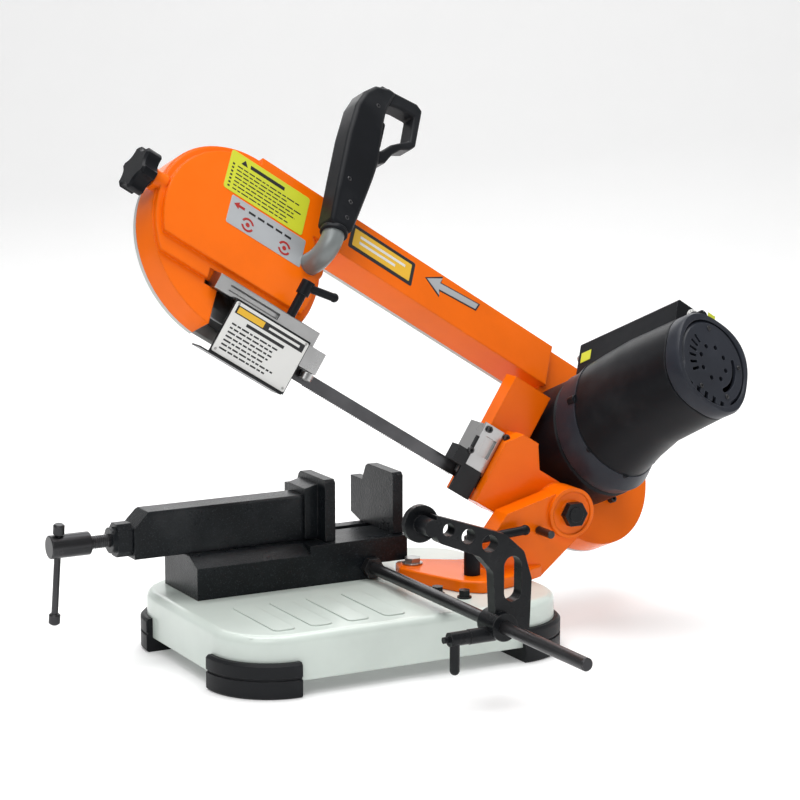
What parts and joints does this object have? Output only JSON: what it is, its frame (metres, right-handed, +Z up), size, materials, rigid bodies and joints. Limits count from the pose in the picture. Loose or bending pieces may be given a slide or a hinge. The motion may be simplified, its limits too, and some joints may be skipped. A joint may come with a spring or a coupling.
{
  "type": "portable band saw",
  "caption": "Portable metal-cutting band saw: raised tilting bow with motor and pistol grip, swivel arm, screw vise and work stop on a tray base.",
  "frame": {"origin": "centre of the four bench bolt holes, on the ground plane under the feet", "axes": "+X along the vise screw towards the bow's hinge, -Y towards the operator, +Z up"},
  "size_m": [0.6622, 0.5065, 0.5311],
  "materials": {
    "orange_paint": "gloss",
    "base_paint": "satin",
    "black_casting": "hammered black paint",
    "black_paint": "satin",
    "steel": "machined",
    "dark_steel": "blackened",
    "zinc": "zinc plated",
    "rubber": "matte",
    "black_plastic": "moulded, fine texture",
    "cast_aluminium": "as cast",
    "blade_steel": "bright",
    "cover_sheet": "satin",
    "clear_plastic": "clear",
    "bronze": "machined",
    "copper_windings": "lacquered"
  },
  "bodies": {
    "base": {"base_tray": "base_paint", "rubber_feet": "rubber", "vise_bed": "black_casting", "bed_screws": "zinc", "fixed_jaw": "black_casting", "fixed_jaw_bolt": "dark_steel", "spindle_nut": "bronze", "stop_rod": "dark_steel", "stop_rod_nut": "dark_steel", "mitre_pivot_bolt": "zinc", "mitre_stop_bolts": "zinc"},
    "vise_slide_body": {"vise_slide": "black_casting", "moving_jaw": "black_casting", "vise_gib": "steel", "thrust_collar": "black_casting"},
    "spindle": {"vise_spindle": "dark_steel"},
    "tommy": {"tommy_bar": "dark_steel", "tommy_bar_knobs": "dark_steel"},
    "stop": {"stop_arm": "black_casting"},
    "stop_lever": {"stop_lock_lever": "black_plastic"},
    "swivel": {"swivel_arm": "orange_paint", "depth_stop_pin": "dark_steel", "return_spring": "dark_steel"},
    "mitre_lever": {"mitre_lock_lever": "black_plastic"},
    "bow": {"pivot_shaft": "steel", "pivot_nut": "black_paint", "bow_frame": "orange_paint", "back_cover": "cover_sheet", "back_cover_knobs": "black_plastic", "blade": "blade_steel", "right_guide_block": "steel", "right_guide_bearings": "steel", "right_blade_guard": "black_paint", "handle_tube": "zinc", "grip_front": "black_plastic", "grip_back": "black_plastic", "grip_screws": "zinc", "gearbox_housing": "black_plastic", "gearbox_bearing_plate": "cast_aluminium", "shaft_bearings": "steel", "motor_stator": "copper_windings", "motor_housing": "black_plastic", "motor_end_cap": "black_plastic", "indicator_lenses": "clear_plastic"},
    "guide_arm": {"guide_bar": "steel", "left_guide_block": "steel", "left_guide_bearings": "steel", "left_blade_guard": "black_paint"},
    "guide_lever": {"guide_lock_lever": "black_plastic"},
    "trigger_body": {"trigger": "black_plastic"},
    "tension": {"tension_knob": "black_plastic"},
    "idler_slide": {"idler_carrier": "steel"},
    "idler": {"idler_wheel": "cast_aluminium", "idler_bearing": "steel"},
    "drive": {"drive_wheel": "cast_aluminium", "drive_shaft": "steel", "final_gear": "steel"},
    "lay": {"layshaft": "steel"},
    "rotor": {"motor_rotor": "dark_steel"},
    "dial": {"speed_dial": "black_plastic"}
  },
  "joints": [
    {"name": "spindle_turn", "type": "hinge", "parent": "vise_slide_body", "child": "spindle", "pos_m": [-0.2, 0.068, 0.1155], "axis": [1, 0, 0], "range_deg": [-5499, 5724]},
    {"name": "jaw_slide", "type": "slide", "parent": "base", "child": "vise_slide_body", "axis": [1, 0, 0], "range_m": [-0.061, 0.0635]},
    {"name": "tommy_bar_slide", "type": "slide", "parent": "spindle", "child": "tommy", "axis": [0, -0.1908, 0.9816], "range_m": [0, 0.057]},
    {"name": "work_stop_slide", "type": "slide", "parent": "base", "child": "stop", "axis": [0, -1, 0], "range_m": [-0.06, 0.125]},
    {"name": "stop_lock_turn", "type": "hinge", "parent": "stop", "child": "stop_lever", "pos_m": [0, -0.22, 0.061], "axis": [-1, 0, 0], "range_deg": [0, 90]},
    {"name": "mitre_swing", "type": "hinge", "parent": "base", "child": "swivel", "pos_m": [0.078, 0.016, 0.06], "axis": [0, 0, 1], "range_deg": [0, 45]},
    {"name": "mitre_lock_turn", "type": "hinge", "parent": "swivel", "child": "mitre_lever", "pos_m": [0.108, -0.05, 0.07], "axis": [0, 0, 1], "range_deg": [-70, 0]},
    {"name": "bow_pivot", "type": "hinge", "parent": "swivel", "child": "bow", "pos_m": [0.2225, 0, 0.1178], "axis": [0, -1, 0], "range_deg": [0, 32.2], "stiffness_Nm_per_rad": 10, "springref_deg": -171.89},
    {"name": "guide_arm_slide", "type": "slide", "parent": "bow", "child": "guide_arm", "axis": [0.8462, 0, -0.5329], "range_m": [0, 0.06]},
    {"name": "guide_lock_turn", "type": "hinge", "parent": "guide_arm", "child": "guide_lever", "pos_m": [-0.06097, 0.002, 0.32822], "axis": [-0.5329, 0, -0.8462], "range_deg": [0, 60]},
    {"name": "trigger_press", "type": "slide", "parent": "bow", "child": "trigger_body", "axis": [-0.8462, 0, 0.5329], "range_m": [0, 0.004], "stiffness_N_per_m": 500, "springref_m": -0.004},
    {"name": "tension_turn", "type": "hinge", "parent": "bow", "child": "tension", "pos_m": [-0.17724, 0.04912, 0.45758], "axis": [-0.8462, 0, 0.5329], "range_deg": [-24, 984]},
    {"name": "tension_slide", "type": "slide", "parent": "bow", "child": "idler_slide", "axis": [0.8462, 0, -0.5329], "range_m": [0, 0.004]},
    {"name": "idler_spin", "type": "hinge", "parent": "idler_slide", "child": "idler", "pos_m": [-0.09919, 0.05346, 0.38635], "axis": [0.2664, -0.866, 0.4231], "continuous": true},
    {"name": "drive_spin", "type": "hinge", "parent": "bow", "child": "drive", "pos_m": [0.28864, 0.05346, 0.14213], "axis": [0.2664, -0.866, 0.4231], "continuous": true},
    {"name": "layshaft_spin", "type": "hinge", "parent": "bow", "child": "lay", "pos_m": [0.29793, 0.06824, 0.16653], "axis": [0.2664, -0.866, 0.4231], "continuous": true},
    {"name": "motor_spin", "type": "hinge", "parent": "bow", "child": "rotor", "pos_m": [0.27656, 0.06696, 0.17737], "axis": [0.2664, -0.866, 0.4231], "continuous": true},
    {"name": "speed_dial_turn", "type": "hinge", "parent": "bow", "child": "dial", "pos_m": [0.34415, -0.07974, 0.30722], "axis": [0.2664, -0.866, 0.4231], "range_deg": [0, 270]}
  ],
  "couplings": [
    {"joint": "spindle_turn", "follows": "jaw_slide", "rad_per_m": 1570.8},
    {"joint": "tension_turn", "follows": "tension_slide", "rad_per_m": 4188.8},
    {"joint": "idler_spin", "follows": "drive_spin", "ratio": 1},
    {"joint": "layshaft_spin", "follows": "drive_spin", "ratio": -6},
    {"joint": "motor_spin", "follows": "drive_spin", "ratio": 48}
  ]
}
